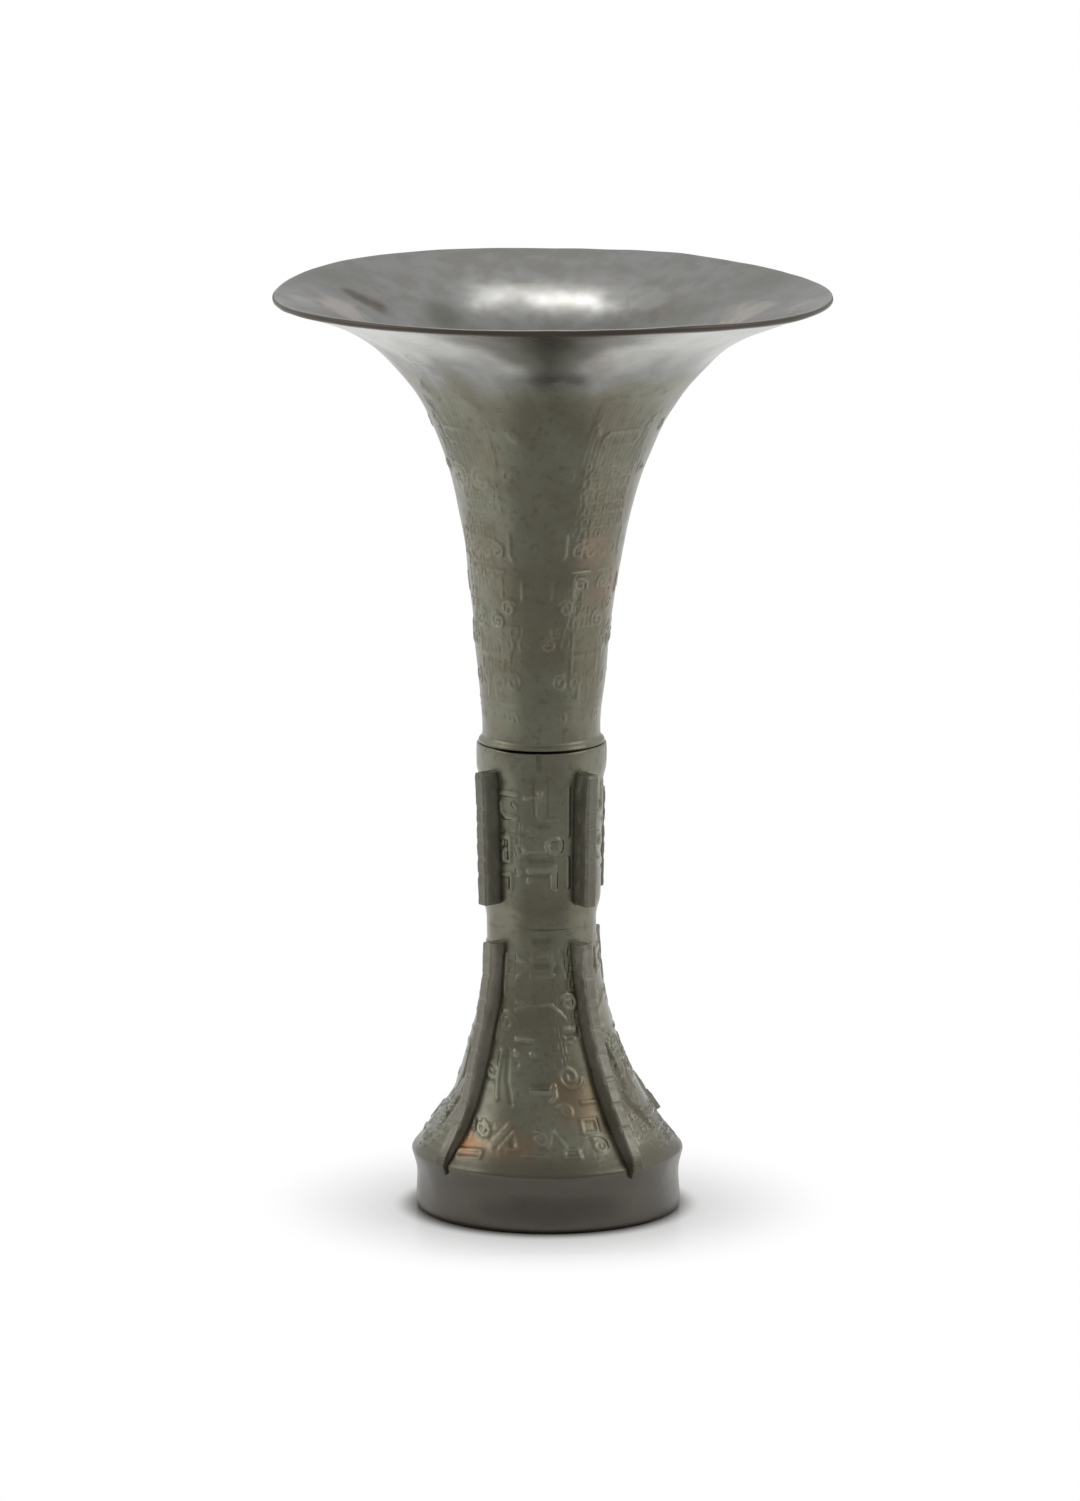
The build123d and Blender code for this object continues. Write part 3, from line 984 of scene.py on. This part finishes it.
def flange_mesh(node):
    """Flange with worn, rounded edges, from its CAD solid, and painted shade on its side walls and heel."""
    mesh = rounded_copy(node)
    points, depth = worn_flange(node, vertex_values(mesh, "co") / MM)
    set_places(mesh, points)
    normals = vertex_values(mesh, "normal")
    rubbed = np.clip(EDGE_WEAR * bulge(mesh, points, normals), -EDGE_WEAR_MOST, EDGE_WEAR_MOST)
    # Painted shade on the side walls, darkest just below the edge
    painted_shade = SIDE_PAINTED_SHADE[place_of(node)] * smooth_step(depth, *SIDE_PAINTED_SHADE_DEPTH)
    painted_shade *= 1 - SIDE_SHADE_FADE_SHARE * smooth_step(depth, *SIDE_SHADE_FADE_DEPTH)
    # Painted shade on the heels, fading out upwards
    painted_shade = np.maximum(painted_shade, HEEL_PAINTED_SHADE * (1 - smooth_step(points[:, 2], *HEEL_SHADE_HEIGHTS)))
    waves = mottle(points, "flange_broad") + FLANGE_FINE_SHARE * mottle(points, "flange_fine")
    set_places(mesh, settle(points + (FLANGE_UNEVENNESS * waves)[:, None] * normals))
    mesh.shade_smooth()
    # Negative relief here is painted shade, which the material turns into darker colour
    mark(mesh, "relief", rubbed - painted_shade)
    return mesh


# Materials


def light_of(level):
    """Light of a screen level from 0 to 255, by the sRGB curve."""
    share = level / 255
    return ((share + 0.055) / 1.055) ** 2.4 if level > 10 else share / 12.92


def colour(levels):
    """Colour for a shader, from its screen levels."""
    return tuple(light_of(level) for level in levels) + (1.0,)


class Nodes:
    """A material's node tree with a short way to add nodes."""

    def __init__(self, name):
        self.material = bpy.data.materials.new(name)
        self.material.use_nodes = True
        self.tree = self.material.node_tree
        self.shader = self.tree.nodes["Principled BSDF"]

    def add(self, kind, inputs=None, **settings):
        """Adds a node. Inputs are values, or sockets to link."""
        node = self.tree.nodes.new(kind)
        for key, value in settings.items():
            setattr(node, key, value)
        for key, value in (inputs or {}).items():
            self.feed(node.inputs[key], value)
        return node

    def feed(self, socket, value):
        """Links a socket, or sets its value."""
        if isinstance(value, bpy.types.NodeSocket):
            self.tree.links.new(value, socket)
        else:
            socket.default_value = value

    def place(self):
        """Place on the object."""
        return self.add("ShaderNodeTexCoord").outputs["Object"]

    def marked(self, name):
        """Number that every vertex was given."""
        return self.add("ShaderNodeAttribute", attribute_name=name).outputs["Fac"]

    def noise(self, where, scale, detail=4.0, roughness=0.55):
        """Noise over the object, with patches of about 1 / scale metres."""
        inputs = {"Vector": where, "Scale": scale, "Detail": detail, "Roughness": roughness}
        return self.add("ShaderNodeTexNoise", inputs).outputs["Fac"]

    def ramp(self, value, low, high, bottom=0.0, top=1.0):
        """Smooth change from bottom to top as a value goes from low to high."""
        inputs = {"Value": value, "From Min": low, "From Max": high, "To Min": bottom, "To Max": top}
        return self.add("ShaderNodeMapRange", inputs, interpolation_type="SMOOTHSTEP").outputs["Result"]

    def math(self, operation, first, second):
        """Sum, product or other operation on two values."""
        return self.add("ShaderNodeMath", {0: first, 1: second}, operation=operation).outputs[0]

    def mix(self, shares, first, second):
        """Sum of two values, each times its share."""
        parts = [self.math("MULTIPLY", value, share) for value, share in zip((first, second), shares)]
        return self.math("ADD", *parts)

    def blend(self, share, first, second):
        """Colour between two colours."""
        node = self.add("ShaderNodeMix", data_type="RGBA")
        self.feed(node.inputs["Factor"], share)
        for name, value in (("A", first), ("B", second)):
            socket = next(s for s in node.inputs if s.name == name and s.type == "RGBA")
            self.feed(socket, value)
        return next(s for s in node.outputs if s.type == "RGBA")

    def between(self, share, ends):
        """Colour between two colours given as screen levels."""
        return self.blend(share, *(colour(levels) for levels in ends))

    def bump(self, strength, depth, height):
        """Small bumps in the shader's skin."""
        inputs = {"Strength": strength, "Distance": depth, "Height": height}
        self.feed(self.shader.inputs["Normal"], self.add("ShaderNodeBump", inputs).outputs["Normal"])


def stain(nodes, where, wobble, place, reach):
    """1 in the middle of a stain, 0 beyond its ragged edge."""
    middle = tuple(v * MM for v in place)
    gap = nodes.add("ShaderNodeVectorMath", {0: where, 1: middle}, operation="DISTANCE").outputs["Value"]
    ragged = nodes.math("ADD", gap, nodes.math("MULTIPLY", wobble, STAIN_WOBBLE * reach * MM))
    return nodes.ramp(ragged, *(share * reach * MM for share in STAIN_EDGE))


def bronze_material(name, stains=(), dirt_and_shade_share=CASTING_DIRT_AND_SHADE, metallic=1.0):
    """Old bronze: mottled brown skin, bared flare, stains, dark ring, grime in hollows and painted shade
    where the relief is low, and rubbed ridges.
    """
    nodes = Nodes(name)
    where = nodes.place()
    height = nodes.add("ShaderNodeSeparateXYZ", {0: where}).outputs["Z"]
    relief, bare, lip = (nodes.marked(kind) for kind in ("relief", "bare", "lip"))
    broad, medium, fine, grain, rusty = (nodes.noise(where, *noise) for noise in BRONZE_NOISE.values())
    skin = nodes.between(nodes.ramp(broad, *PATCHY), BRONZES[name])
    skin = nodes.blend(nodes.ramp(fine, *FLECKED), skin, colour(FLECK))
    patchy = nodes.ramp(medium, *PATCHY)
    skin = nodes.blend(nodes.ramp(bare, *DULLED), skin, nodes.between(patchy, DULL_METAL))
    skin = nodes.blend(nodes.ramp(bare, *BRIGHTENED), skin, nodes.between(patchy, BRIGHT_METAL))
    skin = nodes.blend(nodes.ramp(rusty, *RUSTED), skin, colour(RUST))
    for place, reach, share, tint in stains:
        spread = nodes.math("MULTIPLY", stain(nodes, where, medium, place, reach), share)
        skin = nodes.blend(spread, skin, colour(tint))
    ragged_height = nodes.math("ADD", height, nodes.math("MULTIPLY", medium, BORDER_RAGGEDNESS))
    skin = nodes.blend(nodes.ramp(ragged_height, *BORDER_HEIGHTS), skin, colour(BORDER))
    skin = nodes.blend(nodes.ramp(height, *RING_HEIGHTS), skin, nodes.between(broad, RING_METAL))
    # Darker where the relief is low: grime in the ornament's hollows, and painted shade at the base edge,
    # the collar seam and the flanges' walls and heels
    dirt_and_shade = nodes.ramp(relief, *IN_HOLLOWS_AND_SHADE, 0.0, dirt_and_shade_share)
    skin = nodes.blend(dirt_and_shade, skin, colour(GRIME_AND_SHADE_COLOUR))
    rubbed = nodes.math("MULTIPLY", nodes.ramp(relief, *ON_RIDGES), nodes.ramp(medium, *RUBBED_PATCHES))
    rubbed = nodes.math("MULTIPLY", rubbed, nodes.ramp(height, *RUBBED_HEIGHTS))
    skin = nodes.blend(rubbed, skin, colour(RUBBED))
    skin = nodes.blend(nodes.math("MULTIPLY", lip, LIP_SHARE), skin, nodes.between(medium, LIP_METAL))
    shader = nodes.shader.inputs
    nodes.feed(shader["Base Color"], skin)
    shader["Metallic"].default_value = metallic
    nodes.feed(shader["Coat Weight"], nodes.ramp(bare, *DULLED, *COAT_WEIGHTS))
    shader["Coat Roughness"].default_value = COAT_ROUGHNESS
    uneven = nodes.math("SUBTRACT", nodes.mix(ROUGHNESS_MIX, fine, broad), MIDDLE_NOISE)
    spread = nodes.math("MULTIPLY", uneven, nodes.ramp(bare, *DULLED, *ROUGHNESS_SPREAD))
    rough = nodes.math("ADD", spread, nodes.ramp(bare, *DULLED, *ROUGHNESS))
    dulled = nodes.math("MULTIPLY", nodes.math("MAXIMUM", dirt_and_shade, lip), DIRT_ROUGHNESS)
    nodes.feed(shader["Roughness"], nodes.math("ADD", rough, dulled))
    pits = nodes.math("MULTIPLY", nodes.mix(PIT_MIX, fine, grain), nodes.ramp(bare, *DULLED, *PIT_SHARES))
    nodes.bump(PIT_STRENGTH, PIT_DEPTH, pits)
    return nodes.material


def solder_material():
    """Dull grey solder, with a frosted, uneven skin."""
    nodes = Nodes("dull_solder")
    where = nodes.place()
    blotch = nodes.noise(where, SOLDER_BLOTCHES)
    frost = nodes.noise(where, SOLDER_FROST)
    shader = nodes.shader.inputs
    nodes.feed(shader["Base Color"], nodes.between(nodes.ramp(blotch, *PATCHY), SOLDER_METAL))
    shader["Metallic"].default_value = SOLDER_METALLIC
    nodes.feed(shader["Roughness"], nodes.ramp(frost, *SOLDER_ROUGHNESS))
    nodes.bump(SOLDER_BUMP, SOLDER_BUMP_DEPTH, blotch)
    return nodes.material


bronze = bronze_material("patinated_bronze", bronze_stains)
flange_bronze = {
    place: bronze_material(f"{place}_flange_bronze", dirt_and_shade_share=FLANGE_DIRT_AND_SHADE, metallic=FLANGE_METALLIC)
    for place in flange_names
}
inner_bronze = bronze_material("stained_bronze")
solder = solder_material()

for node in ("neck", "middle_section", "foot"):
    place_piece(node + "_cast", turned_mesh(node, COLUMNS[node]), node, bronze)
place_piece("cup_floor_cast", turned_mesh("cup_floor", PLAIN_COLUMNS), "cup_floor", inner_bronze)
for node in ("neck_joint_solder", "cup_floor_solder", "foot_joint_solder"):
    place_piece(node + "_run", turned_mesh(node, PLAIN_COLUMNS), node, solder)
for place, names in flange_names.items():
    for node in names:
        place_piece(node + "_cast", flange_mesh(node), node, flange_bronze[place])


# Floor, light and camera


def ground_material(name, pale, seen_share):
    """Matt, faintly mottled ground, with a painted contact shadow near the middle. A seen share adds white
    for the camera and for reflections.
    """
    nodes = Nodes(name)
    tree = nodes.tree
    tree.nodes.remove(nodes.shader)
    where = nodes.place()
    lifted = tuple(GROUND_LIFT * v for v in pale[:3]) + (1.0,)
    tint = nodes.blend(nodes.noise(where, GROUND_PATCHES), pale, lifted)
    away = nodes.add("ShaderNodeVectorMath", {0: where}, operation="LENGTH").outputs["Value"]
    # Painted contact shadow: the ground darkens towards the foot, and there loses its white glow
    painted_contact_shadow = nodes.ramp(away, *PAINTED_CONTACT_SHADOW_REACH)
    tint = nodes.blend(painted_contact_shadow, PAINTED_CONTACT_SHADOW_COLOUR, tint)
    matt = nodes.add("ShaderNodeBsdfDiffuse", {"Color": tint}).outputs[0]
    output = next(n for n in tree.nodes if n.type == "OUTPUT_MATERIAL")
    if seen_share:
        glow = nodes.add("ShaderNodeEmission", {"Color": WHITE, "Strength": 1.0}).outputs[0]
        rays = nodes.add("ShaderNodeLightPath").outputs
        seen = nodes.math("MAXIMUM", rays["Is Camera Ray"], rays["Is Glossy Ray"])
        seen = nodes.math("MAXIMUM", seen, rays["Is Transmission Ray"])
        share = nodes.math("MULTIPLY", seen, nodes.ramp(away, *SHADOW_REACH, seen_share, 1.0))
        share = nodes.math("MULTIPLY", share, painted_contact_shadow)
        matt = nodes.add("ShaderNodeMixShader", {0: share, 1: matt, 2: glow}).outputs[0]
        sheen = nodes.add("ShaderNodeBsdfGlossy", {"Color": WHITE, "Roughness": SHEEN_ROUGHNESS}).outputs[0]
        near = nodes.ramp(away, *SHEEN_REACH, SHEEN, 0.0)
        sheen_share = nodes.math("MULTIPLY", rays["Is Camera Ray"], near)
        matt = nodes.add("ShaderNodeMixShader", {0: sheen_share, 1: matt, 2: sheen}).outputs[0]
    tree.links.new(matt, output.inputs["Surface"])
    return nodes.material


def stage_sheet(name, corners, height, material):
    """Flat sheet that belongs to the stage."""
    mesh = bpy.data.meshes.new(name)
    mesh.from_pydata([(x, y, height) for x, y in corners], [], [tuple(range(len(corners)))])
    mesh.materials.append(material)
    sheet = bpy.data.objects.new(name, mesh)
    bpy.context.scene.collection.objects.link(sheet)
    return sheet


floor_corners = [(FLOOR_HALF * x, FLOOR_HALF * y) for x, y in ((-1, -1), (1, -1), (1, 1), (-1, 1))]
stage_sheet("floor", floor_corners, 0.0, ground_material("white_ground", FLOOR_COLOUR, NEAR_GLOW))

reflection_sheet_corners = [(-x, y) for x, y in REFLECTION_SHEET_HALF] + REFLECTION_SHEET_HALF[::-1]
reflection_sheet_material = ground_material("dark_reflection_sheet", REFLECTION_SHEET_COLOUR, 0)
reflection_sheet = stage_sheet("front_reflection_sheet", reflection_sheet_corners, REFLECTION_SHEET_HEIGHT, reflection_sheet_material)
reflection_sheet.rotation_euler = (0, 0, math.radians(REFLECTION_SHEET_TURN))
# The sheet is hidden from the camera, from diffuse light and from shadows, so it only darkens reflections
reflection_sheet.visible_camera = False
reflection_sheet.visible_diffuse = False
reflection_sheet.visible_shadow = False

world = bpy.data.worlds.new("studio")
bpy.context.scene.world = world
world.use_nodes = True
sky = world.node_tree


def sky_ramp(value, levels, interpolation):
    """Strength of the sky as a value goes from one level to another."""
    node = sky.nodes.new("ShaderNodeMapRange")
    node.interpolation_type = interpolation
    for key, level in zip(("From Min", "From Max", "To Min", "To Max"), levels):
        node.inputs[key].default_value = level
    sky.links.new(value, node.inputs["Value"])
    return node.outputs["Result"]


sky_way = sky.nodes.new("ShaderNodeSeparateXYZ")
sky.links.new(sky.nodes.new("ShaderNodeTexCoord").outputs["Generated"], sky_way.inputs[0])
sky_strength = sky.nodes.new("ShaderNodeMath")
sky_strength.operation = "MULTIPLY"
sky.links.new(sky_ramp(sky_way.outputs["Y"], SKY_RISE, "SMOOTHSTEP"), sky_strength.inputs[0])
sky.links.new(sky_ramp(sky_way.outputs["Y"], SKY_BACK, "LINEAR"), sky_strength.inputs[1])
sky.links.new(sky_strength.outputs[0], sky.nodes["Background"].inputs["Strength"])
sky.nodes["Background"].inputs["Color"].default_value = WHITE


def softbox(name, place, width, depth, radiance):
    """Lamp that looks at the vessel's middle."""
    lamp = bpy.data.lights.new(name, "AREA")
    lamp.shape = "RECTANGLE"
    lamp.size = width
    lamp.size_y = depth
    lamp.energy = radiance * math.pi * width * depth
    box = bpy.data.objects.new(name, lamp)
    bpy.context.scene.collection.objects.link(box)
    box.location = place
    box.rotation_mode = "QUATERNION"
    box.rotation_quaternion = (Vector(place) - Vector(LAMP_TARGET)).to_track_quat("Z", "Y")


for name, settings in SOFTBOXES.items():
    softbox(name, *settings)

turn = math.radians(VIEW_AZIMUTH)
camera_data = bpy.data.cameras.new("camera")
camera_data.sensor_width = SENSOR
camera_data.lens = FOCAL_PIXELS / PHOTO_HEIGHT * SENSOR
camera = bpy.data.objects.new("camera", camera_data)
bpy.context.scene.collection.objects.link(camera)
camera.location = (
    MM * (math.sin(turn) * CAMERA_DISTANCE - math.cos(turn) * CAMERA_SIDESTEP),
    MM * (-math.cos(turn) * CAMERA_DISTANCE - math.sin(turn) * CAMERA_SIDESTEP),
    MM * CAMERA_HEIGHT,
)
camera.rotation_euler = (math.radians(90 - CAMERA_TILT), 0, turn)
bpy.context.scene.camera = camera
bpy.context.scene.view_settings.view_transform = "Standard"
